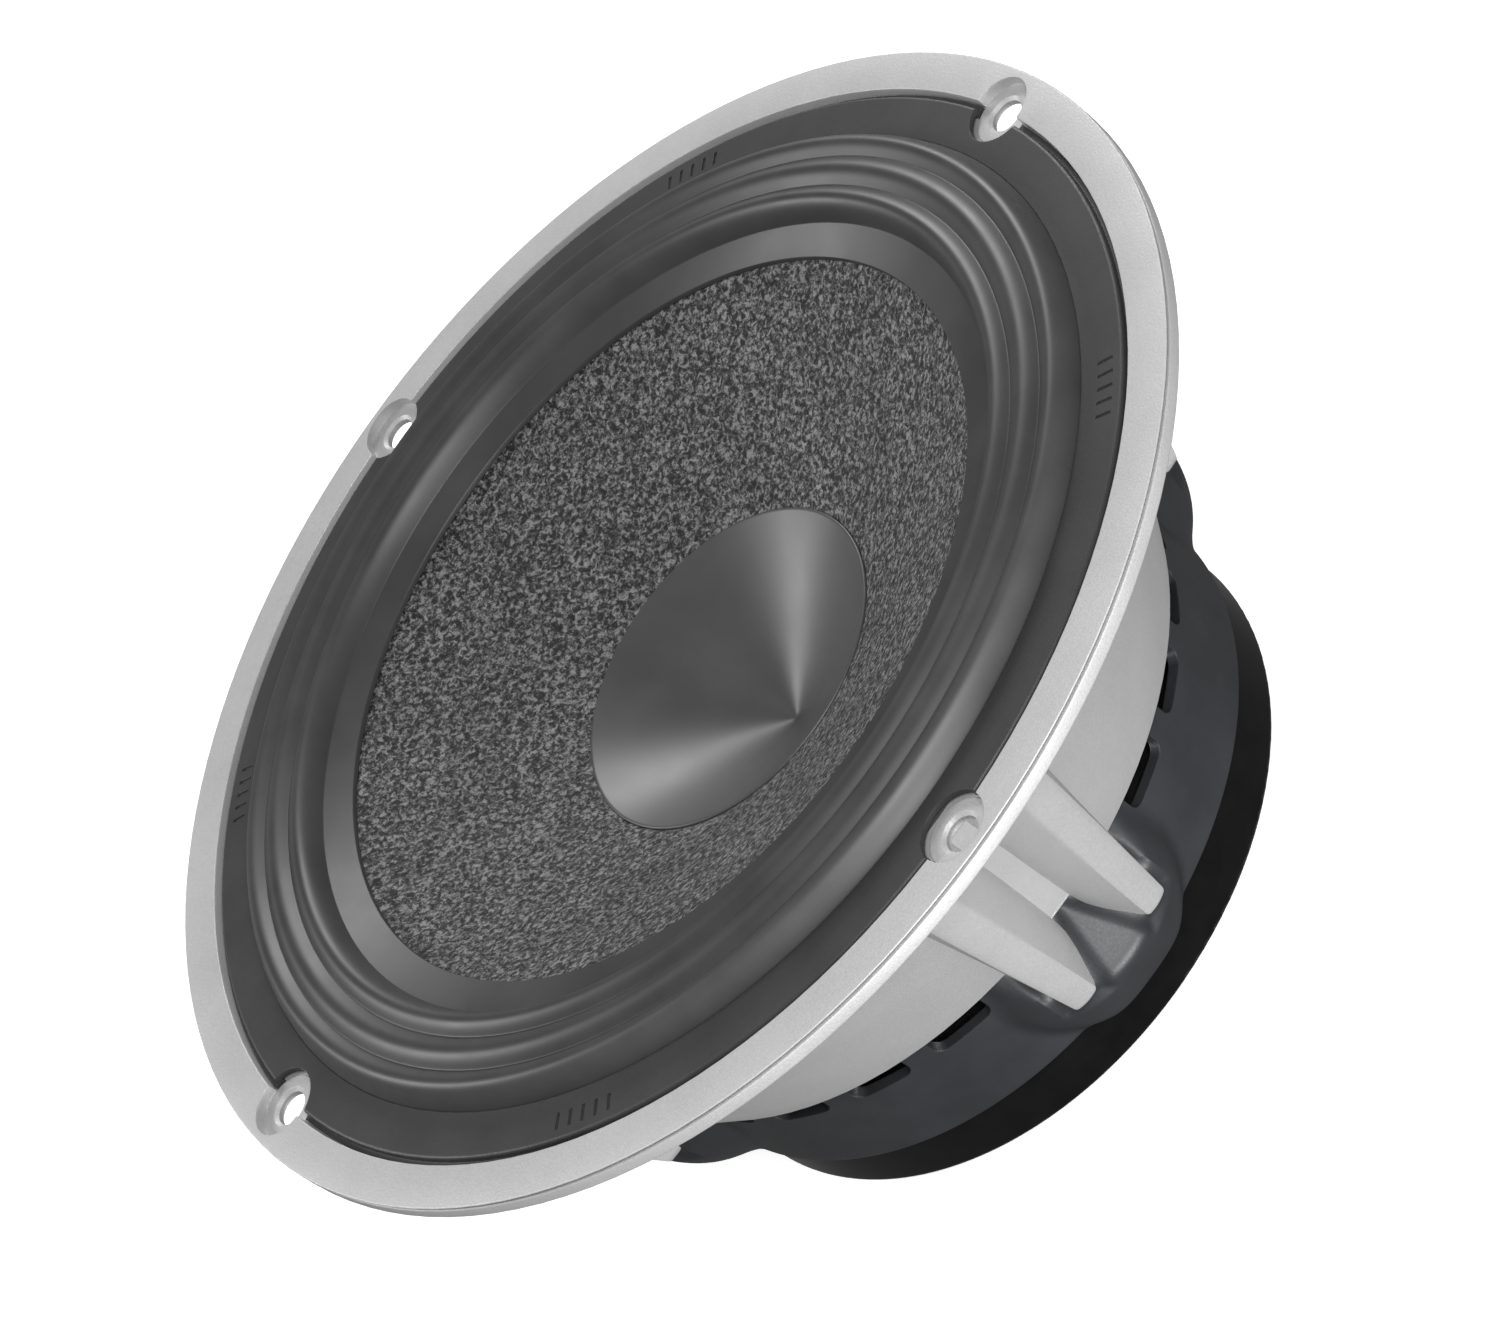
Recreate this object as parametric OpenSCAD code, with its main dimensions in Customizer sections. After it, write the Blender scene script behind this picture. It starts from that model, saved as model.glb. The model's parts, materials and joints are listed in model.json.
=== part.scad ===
// Moving-coil loudspeaker driver for a car door or parcel shelf, 165 mm nominal.
// +Z is the speaker axis, pointing out of the cone towards the listener.
// The origin is the centre of the screw circle, on the rear (mounting) face of the flange.

/* [Mounting flange] */
// Outside diameter of the flange
flange_d = 165; // [160:0.5:170]
// Thickness of the flange
flange_t = 2.7; // [2.4:0.1:3.2]
// Diameter of the screw circle
screw_pcd = 153.7; // [152:0.1:155]
// Diameter of each screw hole
screw_d = 4.6; // [3.6:0.1:5]
// Diameter of the round pocket for each screw head
pocket_d = 9.2; // [8.4:0.1:9.6]
// Diameter of the body that drops into the cut-out
register_d = 143; // [141:0.5:144]

/* [Basket] */
// Height of the rear edge of the basket cone
drum_rear_z = -37.8; // [-38.2:0.1:-37.4]
// Radius of the rear edge of the basket cone
drum_rear_r = 52.4; // [52:0.1:52.8]
// Wall thickness of the basket cone
wall_t = 2.2; // [1.8:0.1:2.4]
// Angle between a rib and the middle of its pair
rib_angle = 7.3; // [7:0.1:8]
// Radius of the tip of a rib
rib_tip_r = 57.0; // [56.5:0.1:57.5]
// Height of the tip of a rib
rib_tip_z = -46.8; // [-47.2:0.1:-46.4]

/* [Cone and surround] */
// Radius of the outer foot of the surround's rolls
surround_out_r = 69.7; // [69:0.1:70]
// Radius of the inner foot of the surround's rolls
surround_in_r = 56.5; // [56:0.1:57]
// Radius where the surround's lip ends on the cone
lip_r = 52.1; // [51.6:0.1:52.6]
// Height of the valleys between the rolls, above the foot
roll_h = 2.35; // [2:0.05:2.6]
// Outer radius of the dust cap
cap_r = 23.4; // [23:0.1:24]
// Height of the bottom of the inverted dust cap
cap_apex_z = -26.5; // [-27.5:0.1:-25]

/* [Motor] */
// Inner radius of the coil former
former_r = 18.8; // [18.6:0.1:18.8]
// Length of the copper winding
coil_len = 11; // [9:0.5:11]
// Thickness of the top plate
top_plate_t = 6; // [5:0.5:6]
// Outer radius of the ring magnet
magnet_r = 45; // [42:0.5:45]

/* [Covers] */
// Outer radius of the vented shell at its rear edge
shell_rear_r = 49.5; // [49.3:0.1:49.8]
// Outer radius of the boot over the magnet
boot_r = 48.4; // [48:0.1:48.8]
// Number of vent slots in each quarter
slots_per_quarter = 4; // [2:1:4]

/* [Hidden] */
$fn = 96;
eps = 0.01;

flange_r = flange_d / 2;
screw_r = screw_d / 2;
pocket_r = pocket_d / 2;
pocket_z = 1.2;         // floor of the screw pockets
register_r = register_d / 2;
recess_r = 76.8;        // step between the bare rim and the recess for the gasket
recess_z = 0.9;         // floor of that recess
groove_w = 0.45;        // groove round the edge of the flange, just behind its face
groove_d = 0.9;
gasket_in_r = 69.75;
gasket_out_r = 75.9;
skirt_r = 76.6;         // low rim round the gasket, beside the wall of its recess
gasket_top_z = 2.35;
foot_t = 0.7;           // thickness of the surround's clamped foot
foot_out_r = 75;
drum_front_in_r = 68.2; // front end of the inside of the basket cone
drum_front_in_z = -3.7;

hub_z = -40;            // rear face of the hub, on the top plate
hub_t = 3.5;
hub_in_r = 24;
hub_out_r = 44.5;
shell_front_z = drum_rear_z - 0.4;
seam_z = -56.2;         // joint between the vented shell and the boot
rear_z = -65.2;         // rear face of the boot
plate_rear_z = hub_z - top_plate_t;
magnet_rear_z = -57.4;
yoke_rear_z = -63.2;
pole_r = 18.2;
pole_top_z = -39;
vent_r = 5.5;
coil_t = 0.8;
former_t = 0.5;
plate_bore_r = 20.9;
screw_circle_r = 34;
terminal_angle = 45;    // where the terminal board stands
spider_z = -28.5;

// ---------------------------------------------------------------- outlines

// Height of the surround's three rolls, from their outer foot (u = 0) to their inner one
ripple_h = 1;
function roll_z(u) = gasket_top_z + roll_h * (1 - pow(2 * u - 1, 6)) + ripple_h * abs(sin(540 * u));

// Height of the front of the cone body at radius r
cone_edge_z = 0.85;
cone_slope = 0.5;
function cone_z(r) = cone_edge_z - cone_slope * (lip_r - r);

// Height of the spider's corrugations at radius r
spider_in_r = former_r + former_t + 0.2;
spider_out_r = 39.8;
function spider_wave(u) = 1.2 * sin(360 * 5 * u) * (1 - pow(2 * u - 1, 8));

// Radius of the outer edge of a rib at height z, behind its straight start
rib_bend_z = -7.7;
function rib_edge(z) = register_r + (rib_tip_r - register_r) * (z - rib_bend_z) / (rib_tip_z - rib_bend_z);

// Points of a round corner about (x, z), from one angle to another
function corner(x, z, r, from, to) =
    [for (i = [0:4]) let (a = from + (to - from) * i / 4) [x + r * cos(a), z + r * sin(a)]];

// Repeats its children in the four quarters
module quarters() {
    for (q = [0:3]) rotate([0, 0, 90 * q]) children();
}

// Side view of a rib in radius and height, larger by gap all round
module rib_outline(gap) {
    polygon([[register_r - 12, 0], [register_r, 0], [register_r, rib_bend_z],
        [rib_edge(drum_rear_z) + gap, drum_rear_z], [drum_rear_r - 1.5, drum_rear_z]]);
    // the free end curves up from the rear edge of the basket cone to the tip
    intersection() {
        polygon([[rib_edge(drum_rear_z) + gap, drum_rear_z + eps], [rib_tip_r + gap, rib_tip_z - gap],
            [rib_tip_r - 6 - gap, rib_tip_z - gap], [drum_rear_r - 1.5, drum_rear_z + eps]]);
        translate([59.9, -40]) circle(r = 7.75 + gap);
    }
}

// One rib: a strut with a narrow outer face and sloping sides, the inner side sloping more
module rib(gap = 0) {
    lean = atan2(register_r - rib_tip_r, rib_bend_z - rib_tip_z);
    intersection() {
        rotate([90, 0, 0]) linear_extrude(height = 30, center = true) rib_outline(gap);
        translate([rib_tip_r, 0, rib_tip_z]) rotate([0, lean, 0]) translate([0, 0, -10])
            linear_extrude(height = 70)
                polygon([[3, -0.7 - gap], [3, 1.6 + gap], [0, 2.3 + gap], [-7.4, 4.1 + gap],
                    [-16, 4.1 + gap], [-16, -6.3 - gap], [-7.4, -6.3 - gap], [0, -2.3 - gap]]);
    }
}

// The pair of ribs behind a screw hole, as mirror images
module rib_pair(gap = 0) {
    rotate([0, 0, rib_angle]) rib(gap);
    rotate([0, 0, -rib_angle]) mirror([0, 1, 0]) rib(gap);
}

// ---------------------------------------------------------------- basket

module basket_profile() {
    edge_r = 0.2;
    groove_z = flange_t - 0.25;
    polygon(concat([[gasket_in_r - 1.4, recess_z], [recess_r, recess_z]],
        corner(recess_r + edge_r, flange_t - edge_r, edge_r, 180, 90),
        corner(flange_r - edge_r, flange_t - edge_r, edge_r, 90, 20),
        [[flange_r - groove_d, groove_z], [flange_r - groove_d, groove_z - groove_w]],
        corner(flange_r - edge_r, groove_z - groove_w - edge_r, edge_r, 80, 0),
        corner(flange_r - 0.4, 0.4, 0.4, 0, -90),
        [[register_r, 0], [register_r, -2.5], [drum_rear_r, drum_rear_z],
        [drum_rear_r - wall_t, drum_rear_z], [drum_front_in_r, drum_front_in_z]]));
}

spoke_r = 48.7;         // stays inside the vented shell
module spoke_profile() {
    polygon([[hub_out_r - 2, hub_z], [spoke_r, hub_z], [spoke_r, drum_rear_z],
        [drum_rear_r - 0.8, drum_rear_z], [drum_rear_r + 0.6, drum_rear_z + 4],
        [48, drum_rear_z + 4.3], [hub_out_r - 0.3, hub_z + hub_t], [hub_out_r - 2, hub_z + hub_t]]);
}

module spoke(width_deg) {
    rotate([0, 0, -width_deg / 2]) rotate_extrude(angle = width_deg) spoke_profile();
}

pad_face_r = 68;        // flat outer face of the pad under the terminal board
pad_z = -16;
module terminal_pad() {
    difference() {
        translate([pad_face_r - 12, -14, pad_z - 6.5]) cube([12, 28, 13]);
        // inside of the basket cone
        rotate_extrude() polygon([[0, 0], [drum_front_in_r, 0], [drum_front_in_r, drum_front_in_z],
            [drum_rear_r - wall_t, drum_rear_z], [0, drum_rear_z]]);
    }
}

module basket() {
    color([0.78, 0.78, 0.79])
    difference() {
        union() {
            rotate_extrude() basket_profile();
            quarters() translate([screw_pcd / 2, 0, 0]) cylinder(r = pocket_r - 0.2, h = pocket_z);
            quarters() rib_pair();
            translate([0, 0, hub_z]) difference() {
                cylinder(r = hub_out_r, h = hub_t);
                translate([0, 0, -1]) cylinder(r = hub_in_r, h = hub_t + 2);
            }
            quarters() spoke(20);
            quarters() rotate([0, 0, 45]) spoke(5);
            rotate([0, 0, terminal_angle]) terminal_pad();
        }
        quarters() translate([screw_pcd / 2, 0, -1]) cylinder(r = screw_r, h = flange_t + 2);
        quarters() translate([screw_pcd / 2, 0, pocket_z]) cylinder(r = pocket_r, h = flange_t);
        // lead-in at the mouth of each screw hole
        quarters() translate([screw_pcd / 2, 0, pocket_z - 0.4])
            cylinder(r1 = screw_r, r2 = screw_r + 0.5, h = 0.41);
        // clearance holes for the screws that hold the motor
        quarters() rotate([0, 0, 22.5]) translate([screw_circle_r, 0, hub_z - 1])
            cylinder(r = 2.2, h = hub_t + 2);
        // window and rivet holes behind the terminal board
        rotate([0, 0, terminal_angle]) {
            translate([pad_face_r - 14, -9, pad_z - 3]) cube([16, 18, 6]);
            for (s = [-1, 1]) translate([pad_face_r - 14, s * 11.2, pad_z]) rotate([0, 90, 0])
                cylinder(r = 1.3, h = 16);
        }
    }
}

// ---------------------------------------------------------------- front ring and surround

module front_gasket() {
    color([0.2, 0.2, 0.21])
    difference() {
        rotate_extrude() polygon(concat([[gasket_in_r, recess_z + foot_t],
            [foot_out_r + 0.1, recess_z + foot_t], [foot_out_r + 0.1, recess_z], [skirt_r, recess_z],
            [skirt_r, recess_z + 0.5], [gasket_out_r, recess_z + 0.5]],
            corner(gasket_out_r - 0.4, gasket_top_z - 0.4, 0.4, 0, 90),
            [[gasket_in_r, gasket_top_z]]));
        quarters() translate([screw_pcd / 2, 0, 0]) cylinder(r = pocket_r + 0.25, h = 5);
        // plain index ticks midway between the screw holes
        for (q = [0:3], k = [-2:2]) rotate([0, 0, 45 + 90 * q + 1.6 * k])
            translate([72.2, -0.25, gasket_top_z - 0.25]) cube([2.2, 0.5, 1]);
    }
}

module surround() {
    steps = 42;
    top = [for (i = [0:steps]) let (u = i / steps)
        [surround_out_r + (surround_in_r - surround_out_r) * u, roll_z(u)]];
    bottom = [for (i = [steps:-1:0]) let (u = i / steps)
        [surround_out_r + (surround_in_r - surround_out_r) * u, roll_z(u) - 0.8]];
    color([0.16, 0.16, 0.17])
    difference() {
        rotate_extrude() {
            polygon(concat([[foot_out_r, recess_z], [foot_out_r, recess_z + foot_t],
                [surround_out_r, recess_z + foot_t]], top, [[lip_r - 0.2, cone_edge_z + 0.8],
                [lip_r - 0.2, cone_edge_z]], bottom, [[surround_out_r - 0.2, recess_z]]));
        }
        quarters() translate([screw_pcd / 2, 0, 0]) cylinder(r = pocket_r + 0.25, h = 5);
    }
}

// ---------------------------------------------------------------- moving parts

neck_r = former_r + former_t + 0.05;
cap_seat_z = cone_z(cap_r + 0.2);
module cone() {
    color([0.36, 0.36, 0.37])
    rotate_extrude() polygon([[lip_r + 3.6, cone_edge_z + 0.43], [lip_r - 0.2, cone_edge_z - 0.15],
        [cap_r + 0.2, cap_seat_z], [neck_r, -18.2], [neck_r, -20.2], [cap_r, cap_seat_z - 1.1],
        [lip_r, cone_edge_z - 0.95], [lip_r + 3.6, cone_edge_z - 0.37]]);
}

module dust_cap() {
    color([0.3, 0.3, 0.31])
    rotate_extrude() polygon([[0, cap_apex_z], [0, cap_apex_z - 0.8], [cap_r - 0.6, cap_seat_z - 0.45],
        [cap_r, cap_seat_z + 0.05], [cap_r, cap_seat_z + 0.55], [cap_r - 0.4, cap_seat_z + 0.4]]);
}

former_rear_z = hub_z - 8.9;
module coil_former() {
    color([0.75, 0.6, 0.4])
    translate([0, 0, former_rear_z]) difference() {
        cylinder(r = former_r + former_t, h = -17 - former_rear_z);
        translate([0, 0, -1]) cylinder(r = former_r, h = 40);
    }
}

module voice_coil() {
    color([0.72, 0.42, 0.2])
    translate([0, 0, hub_z - top_plate_t / 2 - coil_len / 2]) difference() {
        cylinder(r = former_r + former_t + coil_t, h = coil_len);
        translate([0, 0, -1]) cylinder(r = former_r + former_t, h = coil_len + 2);
    }
}

module spider() {
    steps = 60;
    span = spider_out_r - spider_in_r;
    top = [for (i = [0:steps]) [spider_in_r + span * i / steps, spider_z + 0.3 + spider_wave(i / steps)]];
    bottom = [for (i = [steps:-1:0]) [spider_in_r + span * i / steps,
        spider_z - 0.3 + spider_wave(i / steps)]];
    color([0.8, 0.68, 0.42])
    rotate_extrude() polygon(concat(top, [[hub_out_r - 0.5, spider_z + 0.3],
        [hub_out_r - 0.5, spider_z - 0.3]], bottom));
}

module spider_ring() {
    color([0.12, 0.12, 0.13])
    difference() {
        translate([0, 0, hub_z + hub_t]) cylinder(r = hub_out_r - 0.5, h = spider_z - 0.3 - hub_z - hub_t);
        translate([0, 0, hub_z]) cylinder(r = spider_out_r, h = 20);
        // vents for the air under the spider
        for (k = [0:11]) rotate([0, 0, 15 + 30 * k])
            translate([35, -4, hub_z + hub_t + 2]) cube([12, 8, 3.5]);
    }
}

// ---------------------------------------------------------------- motor

module top_plate() {
    color([0.55, 0.56, 0.58])
    difference() {
        translate([0, 0, plate_rear_z]) cylinder(r = magnet_r + 1.2, h = top_plate_t);
        translate([0, 0, plate_rear_z - 1]) cylinder(r = plate_bore_r, h = top_plate_t + 2);
        quarters() rotate([0, 0, 22.5]) translate([screw_circle_r, 0, plate_rear_z - 1])
            cylinder(r = 2, h = top_plate_t + 2);
    }
}

module magnet() {
    color([0.2, 0.2, 0.22])
    translate([0, 0, magnet_rear_z]) difference() {
        cylinder(r = magnet_r, h = plate_rear_z - magnet_rear_z);
        translate([0, 0, -1]) cylinder(r = 25, h = 20);
    }
}

module yoke() {
    color([0.55, 0.56, 0.58])
    rotate_extrude() polygon([[vent_r, pole_top_z - 1], [vent_r + 1, pole_top_z],
        [pole_r - 0.6, pole_top_z], [pole_r, pole_top_z - 0.6], [pole_r, magnet_rear_z],
        [magnet_r - 2, magnet_rear_z], [magnet_r - 0.5, magnet_rear_z - 1.5],
        [magnet_r - 0.5, yoke_rear_z], [10.2, yoke_rear_z], [10.2, yoke_rear_z + 0.6],
        [9, yoke_rear_z + 0.6], [vent_r, yoke_rear_z + 6]]);
}

module shorting_ring() {
    color([0.8, 0.5, 0.3])
    translate([0, 0, magnet_rear_z]) difference() {
        cylinder(r = 24.8, h = 1.5);
        translate([0, 0, -1]) cylinder(r = pole_r + 0.1, h = 4);
    }
}

module motor_screws() {
    color([0.3, 0.3, 0.32])
    quarters() rotate([0, 0, 22.5]) translate([screw_circle_r, 0, 0]) difference() {
        union() {
            translate([0, 0, plate_rear_z + 0.3]) cylinder(r = 1.95, h = top_plate_t + hub_t);
            translate([0, 0, hub_z + hub_t]) cylinder(r = 3.6, h = 2.2);
        }
        // hexagon socket
        translate([0, 0, hub_z + hub_t + 0.9]) cylinder(r = 1.7, h = 2, $fn = 6);
    }
}

// ---------------------------------------------------------------- covers

shell_front_r = drum_rear_r - 1.8;
shell_wall = 1.6;
module shell_outside() {
    polygon([[0, shell_front_z], [shell_front_r, shell_front_z], [shell_rear_r, seam_z], [0, seam_z]]);
}

// Rounded swelling under a pair of ribs, which carries on the line of their tips
lobe_sphere_r = 16;
lobe_centre_r = 42.2;
lobe_centre_z = -44.9;
module lobe() {
    intersection() {
        translate([lobe_centre_r, 0, lobe_centre_z]) sphere(r = lobe_sphere_r);
        rotate_extrude() polygon([[44, shell_front_z], [shell_front_r, shell_front_z],
            [rib_tip_r + 2, rib_tip_z - 0.6], [shell_rear_r + 3.1, seam_z], [44, seam_z]]);
    }
}

// Vent slot: a rectangle with round corners, cut radially
slot_w = 9.1;
slot_h = 6;             // reaches past the front edge of the shell, so that a slot is open there
slot_rear_z = -42.6;
slot_corner = 1.5;
module slot_shape() {
    square([slot_h, slot_w - 2 * slot_corner], center = true);
    square([slot_h - 2 * slot_corner, slot_w], center = true);
    for (a = [-1, 1], b = [-1, 1])
        translate([a * (slot_h / 2 - slot_corner), b * (slot_w / 2 - slot_corner)])
            circle(r = slot_corner);
}

module vent_shell() {
    slot_pitch = 60 / slots_per_quarter;
    color([0.24, 0.24, 0.25])
    difference() {
        union() {
            rotate_extrude() shell_outside();
            quarters() lobe();
        }
        // hollow, with a ledge that is held under the top plate
        rotate_extrude() {
            polygon([[0, shell_front_z + 1], [shell_front_r - shell_wall, shell_front_z + 1],
                [shell_rear_r - shell_wall + 0.6, plate_rear_z], [0, plate_rear_z]]);
            polygon([[0, plate_rear_z + 1], [magnet_r + 0.2, plate_rear_z + 1],
                [magnet_r + 0.2, plate_rear_z - 1.8], [shell_rear_r - shell_wall + 0.3, plate_rear_z - 4],
                [shell_rear_r - shell_wall, seam_z - 1], [0, seam_z - 1]]);
        }
        quarters() rib_pair(0.5);
        quarters() for (k = [0:slots_per_quarter - 1])
            rotate([0, 0, 15 + slot_pitch * (k + 0.5)]) translate([46.8, 0, slot_rear_z + slot_h / 2])
                rotate([0, 90, 0]) linear_extrude(height = 12) slot_shape();
    }
}

boot_edge_r = 1;
module magnet_boot() {
    color([0.06, 0.06, 0.07])
    difference() {
        rotate_extrude() {
            translate([boot_r - boot_edge_r, rear_z + boot_edge_r]) circle(r = boot_edge_r);
            polygon([[0, rear_z], [boot_r - boot_edge_r, rear_z], [boot_r - boot_edge_r, seam_z],
                [0, seam_z]]);
            translate([magnet_r, rear_z + boot_edge_r])
                square([boot_r - magnet_r, seam_z - rear_z - boot_edge_r]);
        }
        rotate_extrude() polygon([[0, yoke_rear_z], [magnet_r + 0.1, yoke_rear_z],
            [magnet_r + 0.1, seam_z + 1], [0, seam_z + 1]]);
        // opening behind the pole vent
        translate([0, 0, rear_z - 1]) cylinder(r = 12, h = 4);
    }
}

module vent_screen() {
    color([0.15, 0.15, 0.16])
    translate([0, 0, yoke_rear_z + 0.1]) cylinder(r = 10.1, h = 0.5);
}

// ---------------------------------------------------------------- terminals and leads

board_t = 2;
module terminal_board() {
    color([0.08, 0.08, 0.09])
    rotate([0, 0, terminal_angle]) difference() {
        translate([pad_face_r, -13.5, pad_z - 6]) cube([board_t, 27, 12]);
        for (s = [-1, 1]) translate([pad_face_r - 1, s * 11.2, pad_z]) rotate([0, 90, 0])
            cylinder(r = 1.3, h = board_t + 2);
        translate([pad_face_r - 1, 5 - 2.4, pad_z - 0.4]) cube([board_t + 2, 4.8, 0.8]);
        translate([pad_face_r - 1, -5 - 1.4, pad_z - 0.4]) cube([board_t + 2, 2.8, 0.8]);
    }
}

// Push-on blade: a tag that crosses the board, then a tab that points to the rear
module blade(width) {
    translate([pad_face_r - 8.5, -width / 2, pad_z - 0.4]) cube([11.5, width, 0.8]);
    translate([pad_face_r + 2.2, -width / 2, pad_z - 8.4]) cube([0.8, width, 8.4]);
}

module terminal_pos() {
    color([0.85, 0.7, 0.35])
    rotate([0, 0, terminal_angle]) translate([0, 5, 0]) blade(4.8);
}

module terminal_neg() {
    color([0.85, 0.7, 0.35])
    rotate([0, 0, terminal_angle]) translate([0, -5, 0]) blade(2.8);
}

module terminal_rivets() {
    color([0.7, 0.7, 0.72])
    rotate([0, 0, terminal_angle]) for (s = [-1, 1])
        translate([pad_face_r - 4, s * 11.2, pad_z]) rotate([0, 90, 0]) {
            cylinder(r = 1.25, h = 4 + board_t);
            translate([0, 0, 4 + board_t]) cylinder(r = 2.1, h = 0.7);
        }
}

// Tube of radius r along points, with an n-sided section that lies in vertical planes
module tube(points, r, n) {
    last = len(points) - 1;
    rings = [for (i = [0:last])
        let (a = points[max(i - 1, 0)], b = points[min(i + 1, last)], d = (b - a) / norm(b - a),
            side = [0, 1, 0], up = cross(d, side))
        for (k = [0:n - 1]) points[i] + r * (cos(360 * k / n) * side + sin(360 * k / n) * up)];
    walls = [for (i = [0:last - 1], k = [0:n - 1])
        [i * n + k, i * n + (k + 1) % n, (i + 1) * n + (k + 1) % n, (i + 1) * n + k]];
    ends = [[for (k = [n - 1:-1:0]) k], [for (k = [0:n - 1]) last * n + k]];
    polyhedron(points = rings, faces = concat(walls, ends), convexity = 4);
}

// Route of a braided lead in radius and height, from its terminal tag to the back of the cone
lead_route = [[59.4, -16], [57.8, -16.2], [56.2, -17.1], [54.3, -18.6], [52, -20.1], [49.2, -21.4],
    [46, -22.3], [42.6, -22.4], [39.2, -21.5], [36, -19.6], [33.4, -17], [31.5, -14.2], [30.3, -11.6]];
lead_d = 1.6;
module lead(offset) {
    color([0.75, 0.55, 0.35])
    rotate([0, 0, terminal_angle]) translate([0, offset, 0])
        tube([for (p = lead_route) [p[0], 0, p[1]]], lead_d / 2, 8);
}

module lead_pos() {
    lead(5);
}

module lead_neg() {
    lead(-5);
}

basket();
front_gasket();
surround();
cone();
dust_cap();
coil_former();
voice_coil();
spider();
spider_ring();
top_plate();
magnet();
yoke();
shorting_ring();
motor_screws();
vent_shell();
magnet_boot();
vent_screen();
terminal_board();
terminal_pos();
terminal_neg();
terminal_rivets();
lead_pos();
lead_neg();
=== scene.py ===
"""A 165 mm moving-coil car loudspeaker on a plain studio floor."""
import json
import math
import random
import bmesh
import bpy
from mathutils import Matrix, Vector


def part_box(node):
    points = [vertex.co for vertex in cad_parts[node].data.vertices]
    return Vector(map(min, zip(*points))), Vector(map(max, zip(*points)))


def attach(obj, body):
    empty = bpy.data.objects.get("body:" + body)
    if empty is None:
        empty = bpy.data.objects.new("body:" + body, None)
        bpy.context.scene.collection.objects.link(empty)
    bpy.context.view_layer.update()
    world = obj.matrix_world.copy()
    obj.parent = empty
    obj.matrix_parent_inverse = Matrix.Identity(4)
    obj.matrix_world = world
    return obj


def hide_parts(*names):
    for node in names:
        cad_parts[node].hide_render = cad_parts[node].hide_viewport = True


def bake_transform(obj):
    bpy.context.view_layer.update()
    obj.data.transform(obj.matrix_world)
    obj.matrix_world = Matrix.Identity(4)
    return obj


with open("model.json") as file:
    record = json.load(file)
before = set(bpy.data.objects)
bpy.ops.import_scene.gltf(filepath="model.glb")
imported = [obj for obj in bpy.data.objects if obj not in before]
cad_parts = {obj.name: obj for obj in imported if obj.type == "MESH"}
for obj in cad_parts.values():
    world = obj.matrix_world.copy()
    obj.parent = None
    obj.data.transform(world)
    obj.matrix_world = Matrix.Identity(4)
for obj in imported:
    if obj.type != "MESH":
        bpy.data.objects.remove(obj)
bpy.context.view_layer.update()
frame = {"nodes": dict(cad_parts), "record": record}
NODES = frame["nodes"]
MM = 0.001
CHASSIS = "chassis"
DIAPHRAGM = "diaphragm"

# ---------------------------------------------------------------- sizes in metres, from the frame

FLOOR_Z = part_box("magnet_boot")[0].z             # the driver stands on its rear face
CAP_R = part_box("dust_cap")[1].x
CAP_TIP_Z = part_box("dust_cap")[0].z
CONE_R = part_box("cone")[1].x
FORMER_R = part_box("coil_former")[1].x
RING_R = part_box("spider_ring")[1].x

CONE_RIM_Z = 0.85 * MM                          # the cone body at the edge of the surround's lip
CONE_RIM_R = 52.1 * MM
CONE_SLOPE = 0.5                                # its fall for each metre towards the axis


def cone_z(r):
    """Height of the front of the cone body at radius r."""
    return CONE_RIM_Z - CONE_SLOPE * (CONE_RIM_R - r)


# ---------------------------------------------------------------- mesh helpers

ON_AXIS = 1e-7                                  # a radius below this is the axis itself


def clamp(value, top=1.0):
    """The value, kept between 0 and top."""
    return min(max(value, 0.0), top)


def ease(t):
    """Goes smoothly from 0 to 1."""
    t = clamp(t)
    return t * t * (3 - 2 * t)


def round_off(height, radius):
    """How far a quarter circle of that radius has pulled in, at a height above the end."""
    rest = radius - clamp(height, radius)
    return radius - math.sqrt(max(radius ** 2 - rest ** 2, 0.0))


def soft_max(a, b, reach):
    """The larger of two lengths, rounded where they meet."""
    gap = a - b
    if abs(gap) >= reach:
        return max(a, b)
    return b + (gap + reach) ** 2 / (4 * reach)


def around(azimuth, r, z, along=0.0):
    """The point at that angle, radius and height, moved along the rim."""
    c, s = math.cos(azimuth), math.sin(azimuth)
    return Vector((r * c - along * s, r * s + along * c, z))


def arc(x, z, r, start, end, steps=6):
    """Points of a round corner about (x, z), from angle start to angle end in degrees."""
    angles = [math.radians(start + (end - start) * i / steps) for i in range(steps + 1)]
    return [(x + r * math.cos(a), z + r * math.sin(a)) for a in angles]


def add_object(name, data):
    """A new object with that data, linked to the scene."""
    obj = bpy.data.objects.new(name, data)
    bpy.context.scene.collection.objects.link(obj)
    return obj


def new_object(name, verts, faces, smooth_angle=40.0):
    """A mesh object from points and faces, shaded smooth below smooth_angle degrees."""
    mesh = bpy.data.meshes.new(name)
    mesh.from_pydata([tuple(v) for v in verts], [], faces)
    mesh.validate()
    bm = bmesh.new()
    bm.from_mesh(mesh)
    bmesh.ops.recalc_face_normals(bm, faces=bm.faces)
    for edge in bm.edges:
        if len(edge.link_faces) == 2:
            edge.smooth = edge.calc_face_angle(0.0) < math.radians(smooth_angle)
    for face in bm.faces:
        face.smooth = True
    bm.to_mesh(mesh)
    bm.free()
    return add_object(name, mesh)


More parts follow.
